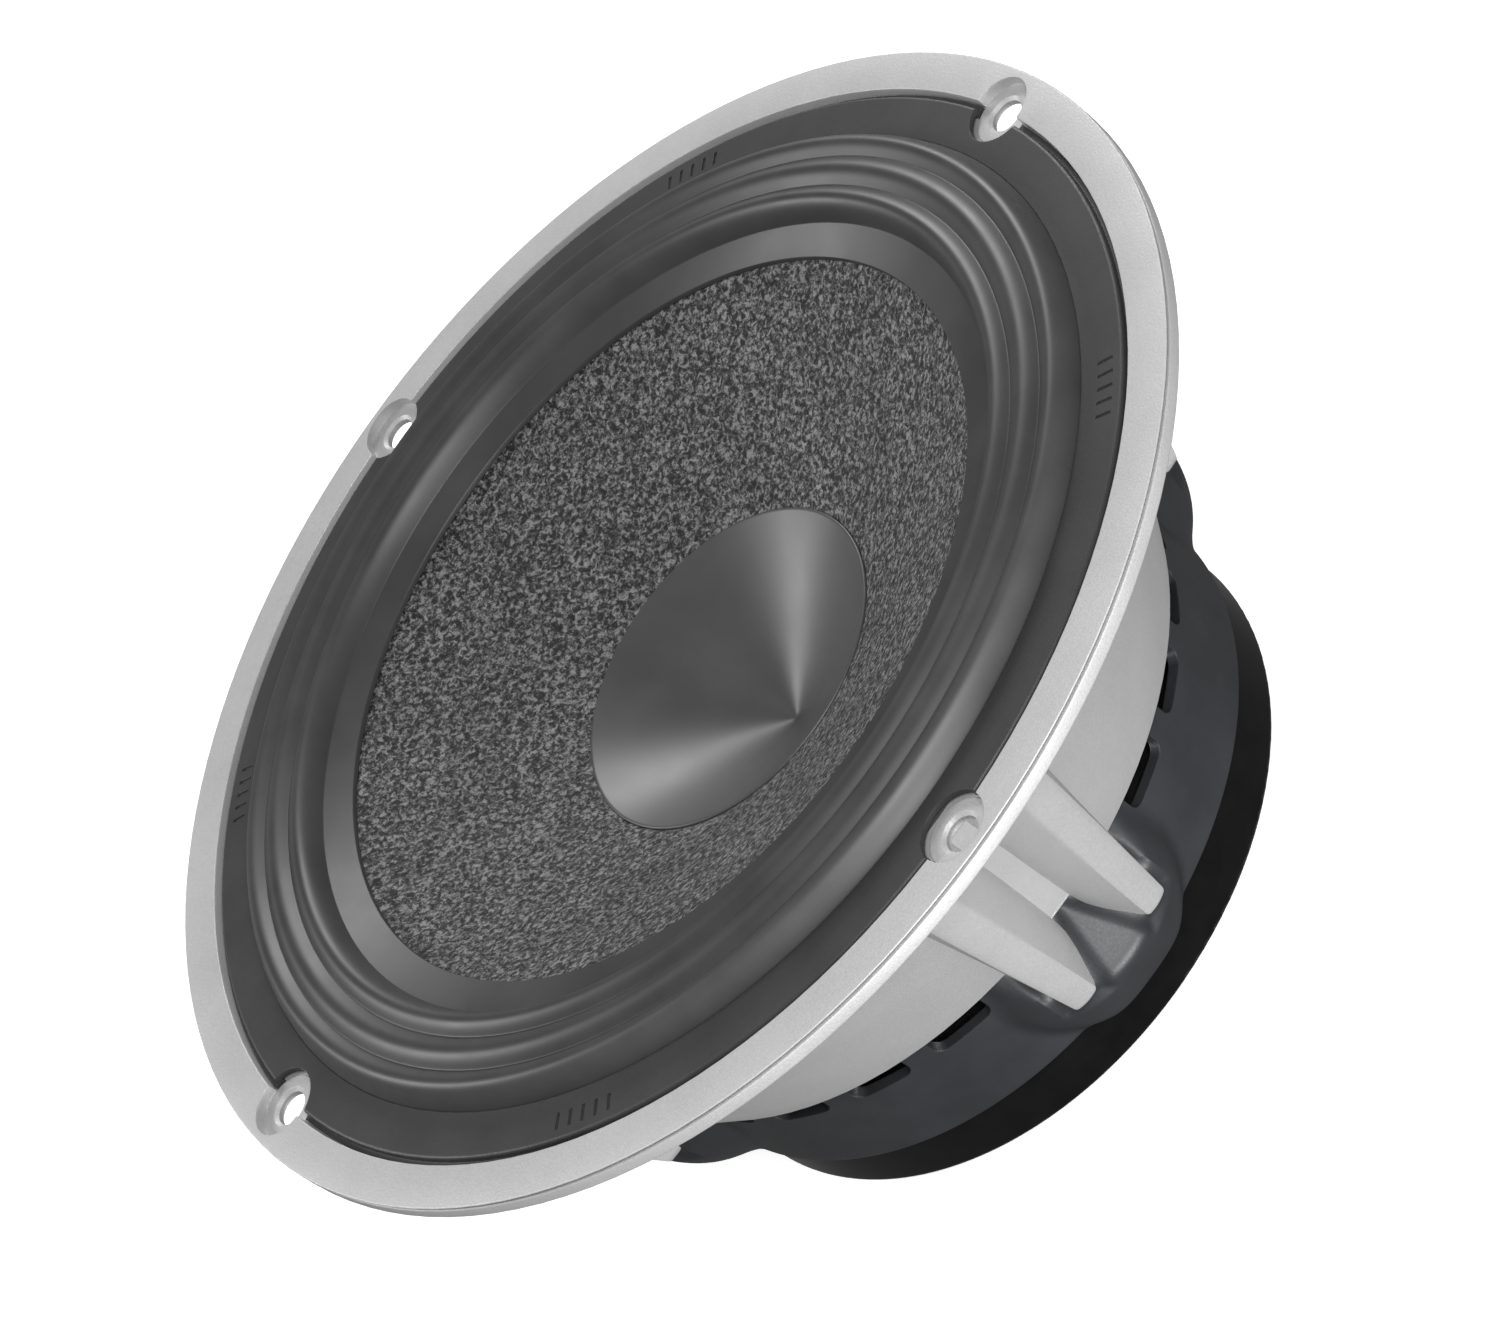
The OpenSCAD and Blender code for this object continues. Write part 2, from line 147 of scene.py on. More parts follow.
def skin(faces, start, count, rings, closed=False):
    """Adds the faces between rings of count points. An open run of rings gets its two ends."""
    for i in range(rings if closed else rings - 1):
        a, b = start + i * count, start + (i + 1) % rings * count
        for k in range(count):
            n = (k + 1) % count
            faces.append([a + k, a + n, b + n, b + k])
    if not closed:
        faces.append([start + k for k in reversed(range(count))])
        faces.append([start + (rings - 1) * count + k for k in range(count)])


def lathe(name, profile, segments=256, smooth_angle=40.0, wobble=None):
    """A closed outline of (radius, height) points turned about Z.

    A point on the axis becomes one vertex. wobble(index) lifts each vertex of outline point index.
    """
    verts = []
    rings = []
    for index, (r, z) in enumerate(profile):
        if r < ON_AXIS:
            rings.append([len(verts)] * segments)
            verts.append(Vector((0, 0, z)))
            continue
        ring = []
        for k in range(segments):
            lift = wobble(index) if wobble else 0.0
            ring.append(len(verts))
            verts.append(around(2 * math.pi * k / segments, r, z + lift))
        rings.append(ring)
    faces = []
    count = len(profile)
    for i in range(count):
        a, b = rings[i], rings[(i + 1) % count]
        for k in range(segments):
            n = (k + 1) % segments
            quad = [a[k], a[n], b[n], b[k]]
            face = [v for j, v in enumerate(quad) if v not in quad[:j]]
            if len(face) > 2:
                faces.append(face)
    return new_object(name, verts, faces, smooth_angle)


def set_blend(obj, weight):
    """Bakes obj's transform and works out weight(point) at each of its points: 0 stands for the
    chassis, 1 for the diaphragm.
    """
    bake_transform(obj)
    values = [weight(v.co) for v in obj.data.vertices]


def across(outer_r, inner_r):
    """A weight for set_blend that goes from 0 at one radius to 1 at the other."""
    return lambda p: ease((outer_r - math.hypot(p.x, p.y)) / (outer_r - inner_r))


# ---------------------------------------------------------------- material helpers

NOISE_LOW, NOISE_HIGH = 0.3, 0.7                # nearly all of a noise lies between these
BAND_PITCH = math.pi / 10                       # crest to crest of a wave texture of scale 1
MIX_FACTOR, MIX_A, MIX_B, MIX_RESULT = 0, 6, 7, 2    # the colour sockets of a Mix node


def rgba(colour):
    """A linear colour with its alpha. A number stands for a grey."""
    rgb = (colour,) * 3 if isinstance(colour, (int, float)) else colour
    return (*rgb, 1)


class Nodes:
    """Short calls for building one procedural material."""

    def __init__(self, name):
        self.material = bpy.data.materials.new(name)
        self.material.use_nodes = True
        self.tree = self.material.node_tree
        self.shader = self.tree.nodes["Principled BSDF"]
        self.place = self.add("ShaderNodeTexCoord").outputs["Object"]

    def add(self, kind, **settings):
        """A new node, with those settings."""
        node = self.tree.nodes.new(kind)
        for key, value in settings.items():
            setattr(node, key, value)
        return node

    def link(self, source, target):
        """Wires one socket to another."""
        self.tree.links.new(source, target)

    def value(self, **values):
        """Sets sockets of the shader by name, with _ for a space."""
        for key, value in values.items():
            self.shader.inputs[key.replace("_", " ")].default_value = value

    def scaled(self, scale):
        """The object's own coordinates, in metres, stretched along each axis."""
        node = self.add("ShaderNodeMapping")
        node.inputs["Scale"].default_value = scale
        self.link(self.place, node.inputs["Vector"])
        return node.outputs["Vector"]

    def noise(self, size, detail=4.0, rough=0.55, stretch=(1, 1, 1), distort=0.0):
        """Noise with features about size metres across."""
        node = self.add("ShaderNodeTexNoise")
        node.inputs["Scale"].default_value = 1.0
        node.inputs["Detail"].default_value = detail
        node.inputs["Roughness"].default_value = rough
        node.inputs["Distortion"].default_value = distort
        self.link(self.scaled([s / size for s in stretch]), node.inputs["Vector"])
        return node.outputs["Fac"]

    def cells(self, size):
        """Distance to the nearest of scattered points, about size metres apart."""
        node = self.add("ShaderNodeTexVoronoi", feature="F1")
        node.inputs["Scale"].default_value = 1.0
        self.link(self.scaled([1 / size] * 3), node.inputs["Vector"])
        return node.outputs["Distance"]

    def bands(self, pitch, axis, distort=0.0):
        """Waves along one axis, with their crests pitch metres apart."""
        node = self.add("ShaderNodeTexWave", bands_direction=axis)
        node.inputs["Scale"].default_value = 1.0
        node.inputs["Distortion"].default_value = distort
        self.link(self.scaled([BAND_PITCH / pitch] * 3), node.inputs["Vector"])
        return node.outputs["Fac"]

    def math(self, operation, a, b):
        """What a Math node makes of two items, each a socket or a number."""
        node = self.add("ShaderNodeMath", operation=operation)
        for socket, item in zip(node.inputs, (a, b)):
            if isinstance(item, (int, float)):
                socket.default_value = item
            else:
                self.link(item, socket)
        return node.outputs["Value"]

    def span(self, source, low, high, to_low=0.0, to_high=1.0):
        """Stretches source from low..high to to_low..to_high, and clamps it."""
        node = self.add("ShaderNodeMapRange")
        self.link(source, node.inputs["Value"])
        ends = (("From Min", low), ("From Max", high), ("To Min", to_low), ("To Max", to_high))
        for name, value in ends:
            node.inputs[name].default_value = value
        return node.outputs["Result"]

    def ramp(self, source, stops):
        """A colour ramp of (position, colour) stops."""
        node = self.add("ShaderNodeValToRGB")
        self.link(source, node.inputs["Fac"])
        elements = node.color_ramp.elements
        while len(elements) < len(stops):
            elements.new(0.5)
        for element, (position, colour) in zip(elements, stops):
            element.position = position
            element.color = rgba(colour)
        return node.outputs["Color"]

    def mottle(self, source, dark, light):
        """Goes from dark to light over the range of a noise."""
        return self.ramp(source, [(NOISE_LOW, dark), (NOISE_HIGH, light)])

    def tint(self, a, b, factor, blend="MIX"):
        """Mixes two colours by factor, each a socket or a plain value."""
        node = self.add("ShaderNodeMix", data_type="RGBA", blend_type=blend)
        for index, item in ((MIX_A, a), (MIX_B, b)):
            if isinstance(item, (int, float, tuple)):
                node.inputs[index].default_value = rgba(item)
            else:
                self.link(item, node.inputs[index])
        if isinstance(factor, (int, float)):
            node.inputs[MIX_FACTOR].default_value = factor
        else:
            self.link(factor, node.inputs[MIX_FACTOR])
        return node.outputs[MIX_RESULT]

    def colour(self, source):
        """Sets the shader's colour."""
        self.link(source, self.shader.inputs["Base Color"])

    def rough(self, source, low, high):
        """Roughness that goes from low to high over the range of a noise."""
        roughness = self.span(source, NOISE_LOW, NOISE_HIGH, low, high)
        self.link(roughness, self.shader.inputs["Roughness"])

    def bump(self, *layers, edge=None):
        """Bump from (height source, depth in metres) layers, over softened edges of radius edge."""
        normal = None
        if edge:
            soft = self.add("ShaderNodeBevel", samples=4)
            soft.inputs["Radius"].default_value = edge
            normal = soft.outputs["Normal"]
        for source, depth in layers:
            node = self.add("ShaderNodeBump")
            node.inputs["Strength"].default_value = 1.0
            node.inputs["Distance"].default_value = depth
            self.link(source, node.inputs["Height"])
            if normal:
                self.link(normal, node.inputs["Normal"])
            normal = node.outputs["Normal"]
        self.link(normal, self.shader.inputs["Normal"])


# ---------------------------------------------------------------- materials

def make_aluminium():
    """Fine silver paint on the casting, with a bright speck here and there."""
    n = Nodes("cast_aluminium")
    grain = n.noise(0.35 * MM, 3)
    cloud = n.noise(14 * MM, 3)
    speck = n.cells(0.28 * MM)
    base = n.mottle(cloud, 0.44, 0.48)
    n.colour(n.tint(base, 0.62, n.span(speck, 0.45, 0.05, 0, 0.35)))
    n.rough(grain, 0.52, 0.66)
    n.value(Metallic=0.5, Specular_IOR_Level=0.4)
    n.bump((grain, 0.03 * MM), (speck, 0.012 * MM), edge=0.12 * MM)
    return n.material


def make_gasket_rubber():
    """Matt moulded rubber."""
    n = Nodes("gasket_rubber")
    grain = n.noise(0.25 * MM, 3)
    cloud = n.noise(9 * MM, 4)
    n.colour(n.mottle(cloud, 0.030, 0.038))
    n.rough(grain, 0.40, 0.52)
    n.value(Specular_IOR_Level=0.35)
    n.bump((grain, 0.012 * MM), edge=0.2 * MM)
    return n.material


def make_surround_rubber():
    """Softer, smoother rubber."""
    n = Nodes("surround_rubber")
    grain = n.noise(0.3 * MM, 3)
    cloud = n.noise(11 * MM, 4)
    n.colour(n.mottle(cloud, 0.030, 0.040))
    n.rough(cloud, 0.42, 0.50)
    n.value(Specular_IOR_Level=0.42)
    n.bump((grain, 0.006 * MM))
    return n.material


def make_cone_paper():
    """Pressed pulp: dark, with a grey fleck."""
    n = Nodes("cone_paper")
    fibre = n.noise(0.70 * MM, 4, 0.6, distort=0.6)
    fine = n.noise(0.24 * MM, 2)
    cloud = n.noise(16 * MM, 3)
    mixed = n.math("ADD", n.math("MULTIPLY", fibre, 0.75), n.math("MULTIPLY", fine, 0.25))
    fleck = n.ramp(mixed, [(0.41, 0.006), (0.47, 0.024), (0.53, 0.09), (0.60, 0.22)])
    n.colour(n.tint(fleck, n.mottle(cloud, 0.75, 1.0), 1.0, "MULTIPLY"))
    n.rough(fibre, 0.75, 0.6)
    n.value(Specular_IOR_Level=0.35)
    n.bump((mixed, 0.20 * MM), (fine, 0.04 * MM))
    return n.material


def make_cap_plastic():
    """Satin plastic that takes a broad highlight."""
    n = Nodes("cap_plastic")
    grain = n.noise(0.2 * MM, 2)
    cloud = n.noise(8 * MM, 3)
    n.colour(n.mottle(cloud, 0.044, 0.052))
    n.rough(cloud, 0.40, 0.45)
    n.value(Specular_IOR_Level=0.5)
    n.bump((grain, 0.004 * MM))
    return n.material


def make_shell_plastic():
    """Grey moulded plastic, a touch cool."""
    n = Nodes("shell_plastic")
    grain = n.noise(0.3 * MM, 3)
    cloud = n.noise(10 * MM, 3)
    n.colour(n.mottle(cloud, (0.018, 0.019, 0.021), (0.026, 0.027, 0.030)))
    n.rough(grain, 0.42, 0.50)
    n.value(Specular_IOR_Level=0.4)
    n.bump((grain, 0.01 * MM), edge=0.3 * MM)
    return n.material


def make_boot_plastic():
    """Glossy black plastic."""
    n = Nodes("boot_plastic")
    cloud = n.noise(6 * MM, 3)
    n.colour(n.mottle(cloud, 0.003, 0.005))
    n.rough(cloud, 0.18, 0.24)
    n.value(Specular_IOR_Level=0.15)
    n.bump((cloud, 0.01 * MM), edge=0.3 * MM)
    return n.material


def make_weave(name, thread, light, dark):
    """Woven cloth: threads along X and along Y, thread metres apart, with painted shade in the gaps
    between them.
    """
    n = Nodes(name)
    cloth = n.math("MAXIMUM", n.bands(thread, "X", 0.6), n.bands(thread, "Y", 0.6))
    stain = n.noise(7 * MM, 3)
    # painted shade: the colour goes to dark in the gaps between threads and at their edges
    threads = n.ramp(cloth, [(0.2, dark), (0.9, light)])
    n.colour(n.tint(threads, n.mottle(stain, 0.8, 1.0), 1.0, "MULTIPLY"))
    n.rough(stain, 0.6, 0.75)
    n.value(Sheen_Weight=0.2, Specular_IOR_Level=0.3)
    n.bump((cloth, 0.08 * MM))
    return n.material


def make_turned_steel():
    """Plated steel, with turning marks round the axis."""
    n = Nodes("motor_steel")
    turning = n.noise(0.6 * MM, 4, stretch=(0.15, 0.15, 4))
    cloud = n.noise(12 * MM, 3)
    n.colour(n.mottle(cloud, (0.40, 0.41, 0.44), (0.52, 0.53, 0.55)))
    n.rough(turning, 0.25, 0.42)
    n.value(Metallic=1.0)
    n.bump((turning, 0.01 * MM), edge=0.2 * MM)
    return n.material


def make_ferrite():
    """Sintered ferrite."""
    n = Nodes("ferrite")
    grain = n.noise(0.4 * MM, 5)
    n.colour(n.ramp(grain, [(0.35, 0.035), (0.65, 0.075)]))
    n.rough(grain, 0.45, 0.7)
    n.bump((grain, 0.04 * MM))
    return n.material


def make_metal(name, dark, light, rough):
    """Plain metal, for the small parts."""
    n = Nodes(name)
    cloud = n.noise(2.5 * MM, 4)
    fine = n.noise(0.3 * MM, 2)
    n.colour(n.mottle(cloud, dark, light))
    n.rough(fine, rough, rough + 0.14)
    n.value(Metallic=1.0)
    n.bump((fine, 0.01 * MM), edge=0.15 * MM)
    return n.material


def make_plain_plastic(name, dark, light, rough):
    """Moulded plastic, for the small parts."""
    n = Nodes(name)
    grain = n.noise(0.3 * MM, 3)
    cloud = n.noise(6 * MM, 3)
    n.colour(n.mottle(cloud, dark, light))
    n.rough(grain, rough, rough + 0.12)
    n.bump((grain, 0.015 * MM), edge=0.2 * MM)
    return n.material


def make_winding():
    """Enamelled wire, wound close along Z, with painted shade in the grooves between turns."""
    n = Nodes("coil_copper")
    wire = n.bands(0.25 * MM, "Z")
    # painted shade: the copper colour goes dark in the grooves between turns
    n.colour(n.ramp(wire, [(0.1, (0.22, 0.08, 0.03)), (0.8, (0.66, 0.30, 0.13))]))
    n.rough(wire, 0.4, 0.25)
    n.value(Metallic=1.0)
    n.bump((wire, 0.1 * MM))
    return n.material


MATERIALS = {
    "cast_aluminium": make_aluminium(),
    "gasket_rubber": make_gasket_rubber(),
    "surround_rubber": make_surround_rubber(),
    "cone_paper": make_cone_paper(),
    "cap_plastic": make_cap_plastic(),
    "shell_plastic": make_shell_plastic(),
    "boot_plastic": make_boot_plastic(),
    "spider_cloth": make_weave("spider_cloth", 0.45 * MM, (0.62, 0.47, 0.22), (0.24, 0.16, 0.06)),
    "screen_mesh": make_weave("screen_mesh", 0.5 * MM, (0.10, 0.10, 0.10), (0.01, 0.01, 0.01)),
    "motor_steel": make_turned_steel(),
    "ferrite": make_ferrite(),
    "coil_copper": make_winding(),
    "ring_copper": make_metal("ring_copper", (0.50, 0.22, 0.12), (0.68, 0.34, 0.20), 0.25),
    "terminal_brass": make_metal("terminal_brass", (0.55, 0.40, 0.14), (0.74, 0.58, 0.26), 0.22),
    "rivet_steel": make_metal("rivet_steel", 0.45, 0.60, 0.28),
    "lead_braid": make_metal("lead_braid", (0.42, 0.20, 0.10), (0.72, 0.42, 0.24), 0.30),
    "screw_steel": make_metal("screw_steel", 0.02, 0.05, 0.35),
    "former_film": make_plain_plastic("former_film", (0.30, 0.13, 0.03), (0.42, 0.20, 0.05), 0.3),
    "ring_plastic": make_plain_plastic("ring_plastic", 0.02, 0.032, 0.45),
    "board_plastic": make_plain_plastic("board_plastic", 0.016, 0.026, 0.4),
}


def dress(obj, slot):
    """Gives an object the material of a slot, and no other."""
    obj.data.materials.clear()
    obj.data.materials.append(MATERIALS[slot])


for part in frame["record"]["subparts"]:
    dress(NODES[part["node"]], part["material_slot"])


def finish_piece(obj, slot, body, replaced):
    """Gives a new piece the material of its slot and its body if one is given, and hides the CAD
    node it replaces.
    """
    dress(obj, slot)
    if body:
        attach(obj, body)
    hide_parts(replaced)


# ---------------------------------------------------------------- surround and cone

ROLL_OUT_R = 69.7 * MM
ROLL_IN_R = 56.5 * MM
FOOT_TOP_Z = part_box("front_gasket")[1].z
ROLL_H = 2.18 * MM
RIPPLE_H = 1.2 * MM
LIP_R = CONE_RIM_R - 0.2 * MM
FOOT_R = 71.8 * MM                              # its clamped foot reaches this far under the gasket
FOOT_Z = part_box("surround")[0].z
FOOT_T = 0.65 * MM
LIP_T = 0.75 * MM
RUBBER_T = 0.8 * MM


def roll_z(u):
    """Height of the three rolls, from their outer foot at u = 0 to their inner one at u = 1."""
    valley = 0.04                               # rounds the bottom of each valley
    ripple = math.sqrt(math.sin(3 * math.pi * u) ** 2 + valley ** 2) - valley
    return FOOT_TOP_Z + ROLL_H * (1 - (2 * u - 1) ** 6) + RIPPLE_H * ripple


def build_surround():
    """Three rolls of rubber, from a foot under the gasket to a lip on the cone."""
    steps = 180
    rolls = [(ROLL_OUT_R + (ROLL_IN_R - ROLL_OUT_R) * i / steps, roll_z(i / steps))
             for i in range(steps + 1)]
    lip_z = FOOT_Z + LIP_T
    bevel_r, bevel_z = 0.1 * MM, 0.15 * MM
    lip = [(LIP_R + bevel_r, lip_z), (LIP_R, lip_z - bevel_z), (LIP_R, lip_z - LIP_T)]
    foot = [(FOOT_R, FOOT_Z), (FOOT_R, FOOT_Z + FOOT_T), (ROLL_OUT_R, FOOT_Z + FOOT_T)]
    under = [(r, z - RUBBER_T) for r, z in reversed(rolls[2:])]
    obj = lathe("surround_rolls", foot + rolls + lip + under, 384, 60)
    finish_piece(obj, "surround_rubber", None, "surround")
    set_blend(obj, across(ROLL_OUT_R, ROLL_IN_R))


def build_cone():
    """The pressed cone. Its front has the small random relief of the pulp."""
    rows = 60
    rng = random.Random(7)
    relief = 0.045 * MM
    sunk = 0.1 * MM                             # so the relief stays below cone_z
    neck_r = FORMER_R + 0.05 * MM
    neck_top_z, neck_end_z = -18.2 * MM, -20.2 * MM
    seat_r = CAP_R + 0.2 * MM
    rim = [(CONE_R, CONE_RIM_Z - 0.37 * MM), (CONE_R, CONE_RIM_Z + 0.43 * MM)]
    radii = [LIP_R + (seat_r - LIP_R) * i / rows for i in range(rows + 1)]
    front = [(r, cone_z(r) - sunk) for r in radii]
    back = [(neck_r, neck_top_z), (neck_r, neck_end_z), (CAP_R, cone_z(seat_r) - 1.1 * MM),
            (CONE_RIM_R, CONE_RIM_Z - 0.95 * MM)]
    first, last = len(rim) + 1, len(rim) + rows - 1

    def wobble(index):
        return rng.uniform(-relief, relief) if first <= index <= last else 0.0

    obj = lathe("cone_body", rim + front + back, 640, 40, wobble)
    finish_piece(obj, "cone_paper", DIAPHRAGM, "cone")


def build_dust_cap():
    """The inverted conical cap, with a small rolled edge that stands on the cone."""
    edge_r = 0.25 * MM
    edge_foot_r = CAP_R - 2 * edge_r
    rim_z = cone_z(CAP_R) + 0.15 * MM
    tip_r = 0.9 * MM                            # the point is rounded out to this radius
    slope = (rim_z - CAP_TIP_Z) / edge_foot_r
    quarters = (0.25, 0.5, 0.75, 1.0)
    tip = [(tip_r * t, CAP_TIP_Z + slope * tip_r * t * t / 2) for t in (0.0, *quarters)]
    wall_z, wall_top_z = CAP_TIP_Z + slope * tip_r / 2, rim_z - 0.1 * MM
    wall = [(tip_r + (edge_foot_r - tip_r) * t, wall_z + (wall_top_z - wall_z) * t)
            for t in quarters]
    rolled = arc(CAP_R - edge_r, rim_z - edge_r, edge_r, 100, -60, 8)
    back = [(CAP_R - 1.2 * MM, rim_z - 1.3 * MM), (0.0, CAP_TIP_Z - 0.8 * MM)]
    obj = lathe("dust_cap_shell", tip + wall + rolled + back, 256, 50)
    finish_piece(obj, "cap_plastic", DIAPHRAGM, "dust_cap")


# ---------------------------------------------------------------- spider and leads

SPIDER_Z = -28.5 * MM
SPIDER_IN_R = FORMER_R + 0.1 * MM
SPIDER_OUT_R = 39.8 * MM
SPIDER_WAVE = 1.2 * MM                          # height of a corrugation
SPIDER_WAVES = 5                                # how many it has


def build_spider():
    """The corrugated cloth that centres the coil."""
    steps = 150
    half = 0.25 * MM                            # half its thickness

    def wave(u):
        return SPIDER_WAVE * math.sin(2 * math.pi * SPIDER_WAVES * u) * (1 - (2 * u - 1) ** 8)

    line = [(SPIDER_IN_R + (SPIDER_OUT_R - SPIDER_IN_R) * i / steps, wave(i / steps))
            for i in range(steps + 1)]
    top = [(r, SPIDER_Z + half + w) for r, w in line]
    edge_r = RING_R - 0.1 * MM
    edge = [(edge_r, SPIDER_Z + half), (edge_r, SPIDER_Z - half)]
    bottom = [(r, SPIDER_Z - half + w) for r, w in reversed(line)]
    obj = lathe("spider_cloth_disc", top + edge + bottom, 256, 60)
    finish_piece(obj, "spider_cloth", None, "spider")
    set_blend(obj, across(SPIDER_OUT_R, SPIDER_IN_R))


# radius and height in mm, from the terminal tag to the back of the cone
LEAD_ROUTE = [(59.4, -16), (57.8, -16.2), (56.2, -17.1), (54.3, -18.6), (52, -20.1),
              (49.2, -21.4), (46, -22.3), (42.6, -22.4), (39.2, -21.5), (36, -19.6),
              (33.4, -17), (31.5, -14.2), (30.3, -11.6)]
LEAD_OFFSET = 5 * MM                            # of each lead from the middle between them
TERMINAL_ANGLE = math.radians(45)
STRANDS = 5
STRAND_R = 0.30 * MM
STRAND_ORBIT = 0.42 * MM                        # of a strand's middle round the lead's


def smooth_path(points, per_span):
    """Points of a Catmull-Rom curve through the given ones."""
    ends = [points[0] * 2 - points[1], *points, points[-1] * 2 - points[-2]]
    path = []
    for i in range(1, len(ends) - 2):
        a, b, c, d = ends[i - 1:i + 3]
        for k in range(per_span):
            t = k / per_span
            path.append(0.5 * (2 * b + (c - a) * t + (2 * a - 5 * b + 4 * c - d) * t ** 2
                               + (3 * b - a - 3 * c + d) * t ** 3))
    path.append(ends[-2].copy())
    return path


def sweep(path, side, radius, sides, verts, faces, centre):
    """Adds a closed tube along path. centre(i) shifts ring i along side and along its normal."""
    start = len(verts)
    last = len(path) - 1
    for i, p in enumerate(path):
        ahead = (path[min(i + 1, last)] - path[max(i - 1, 0)]).normalized()
        up = ahead.cross(side).normalized()
        x, y = centre(i)
        middle = p + side * x + up * y
        for k in range(sides):
            a = 2 * math.pi * k / sides
            verts.append(middle + radius * (math.cos(a) * side + math.sin(a) * up))
    skin(faces, start, sides, len(path))


def build_lead(node, offset):
    """A lead of twisted strands, from its terminal tag to the back of the cone."""
    out = around(TERMINAL_ANGLE, 1.0, 0.0)
    side = Vector((-out.y, out.x, 0))
    path = smooth_path([around(TERMINAL_ANGLE, r * MM, z * MM, offset) for r, z in LEAD_ROUTE], 10)
    verts, faces = [], []
    lay = 14                                    # rings in one turn of a strand
    for strand in range(STRANDS):
        phase = 2 * math.pi * strand / STRANDS

        def centre(i):
            turn = 2 * math.pi * i / lay + phase
            return STRAND_ORBIT * math.cos(turn), STRAND_ORBIT * math.sin(turn)

        sweep(path, side, STRAND_R, 8, verts, faces, centre)
    obj = new_object(node + "_braid", verts, faces, 60)
    finish_piece(obj, "lead_braid", None, node)
    far, near = LEAD_ROUTE[0][0] * MM, LEAD_ROUTE[-1][0] * MM
    set_blend(obj, lambda p: ease((far - p.dot(out)) / (far - near)))


# ---------------------------------------------------------------- basket

REGISTER_R = 71.5 * MM
REGISTER_Z = -2.5 * MM
DRUM_REAR_R = 52.4 * MM
DRUM_REAR_Z = -37.8 * MM
RIB_ANGLE = math.radians(7.3)
RIB_BEND_Z = -7.7 * MM
RIB_TIP_R = 57.0 * MM
RIB_TIP_Z = -46.9 * MM
RIB_HALF = 2.3 * MM                             # half the width of a rib's outer face
RIB_NARROWING = 0.45 * MM                       # how much less that half is at the tip
RIB_CROWN = 0.22 * MM                           # height of its outer face over its two edges
RIB_GAP = 1.5 * MM                              # half the strip left bare between two ribs
RIB_OUT = 1.3 * MM                              # how far its other side spreads to the drum
RIB_LEAST = 1.2 * MM                            # a rib is at least this high over the drum
BAY_DEPTH = 4.2 * MM                            # at the bend of the ribs, and more above it
BAY_WALL = 1.7 * MM
BAY_TOP_Z = -3.0 * MM
FREE_END = (59.9 * MM, -40 * MM, 7.75 * MM)     # radius, height and size of the free end's arc
WELD = 0.002 * MM                               # points closer than this are one point


def drum_r(z):
    """Radius of the outside of the drum, carried on in a straight line behind it."""
    return REGISTER_R + (REGISTER_R - DRUM_REAR_R) * (z - REGISTER_Z) / (REGISTER_Z - DRUM_REAR_Z)


def bay_r(z):
    """Radius of the floor of the bay between two ribs, which is deeper towards the flange."""
    return drum_r(z) - BAY_DEPTH * clamp((z - DRUM_REAR_Z) / (RIB_BEND_Z - DRUM_REAR_Z), 1.15)


def rib_r(z):
    """Radius of the outer face of a rib, with a soft bend and a round tip."""
    slope = (REGISTER_R - RIB_TIP_R) / (RIB_BEND_Z - RIB_TIP_Z)
    soft = 1.2 * MM
    below = RIB_BEND_Z - z
    drop = 0.5 * (below + math.sqrt(below ** 2 + soft ** 2)) * slope
    return REGISTER_R - drop - round_off(z - RIB_TIP_Z, 0.7 * MM)


def rib_section(z):
    """Outline of a rib at height z: (radius, offset along the rim) points, from foot to foot."""
    outer = rib_r(z)
    full = max(outer - drum_r(z), RIB_LEAST)
    bay = max(outer - bay_r(z), RIB_LEAST)
    if z > DRUM_REAR_Z:
        depth = bay + 1.0 * MM                  # into the wall of the bay
    else:
        x, y, r = FREE_END
        depth = outer - (x - math.sqrt(max(r ** 2 - (z - y) ** 2, 0.0)))
    depth = max(depth, 0.25 * MM)
    back = clamp((RIB_BEND_Z - z) / (RIB_BEND_Z - RIB_TIP_Z))
    half = RIB_HALF - RIB_NARROWING * back ** 2 - round_off(z - RIB_TIP_Z, 1.4 * MM)
    inner_spread = max((outer - bay) * math.sin(RIB_ANGLE) - RIB_HALF - RIB_GAP, 0.5 * MM)
    face = [(outer - RIB_CROWN * t * t, half * t) for t in (-0.9, -0.6, -0.3, 0.0, 0.3, 0.6, 0.9)]
    steps = 9

    def side(spread, sign, to_foot):
        points = []
        for i in range(1, steps + 1):
            d = depth * (i / steps) ** 2
            t = min(d / to_foot, 1.0)
            y = half + spread * math.sin(math.pi / 2 * t)
            points.append((outer - RIB_CROWN - d, sign * y))
        return points

    return list(reversed(side(inner_spread, -1, bay))) + face + side(RIB_OUT, 1, full)


def add_rib(verts, faces, azimuth, mirror):
    """One rib, at an angle round the axis. mirror turns its inner side the other way."""
    levels = [-1.2 * MM - i * 0.9 * MM for i in range(41)]          # along the drum
    levels += [-37.9 * MM - i * 0.25 * MM for i in range(31)]       # along the free end
    tip = levels[-1]
    levels += [tip + (RIB_TIP_Z - tip) * (1 - (1 - i / 8) ** 2) for i in range(1, 9)]
    sections = [rib_section(z) for z in levels]
    sign = -1 if mirror else 1
    start = len(verts)
    verts += [around(azimuth, r, z, sign * y)
              for z, section in zip(levels, sections) for r, y in section]
    skin(faces, start, len(sections[0]), len(levels))


def sector(name, profile, middle, half_angle, steps=24):
    """A closed outline of (radius, height) points turned through part of a circle."""
    verts, faces = [], []
    for k in range(steps + 1):
        a = middle - half_angle + 2 * half_angle * k / steps
        verts += [around(a, r, z) for r, z in profile]
    skin(faces, 0, len(profile), steps + 1)
    return new_object(name, verts, faces)


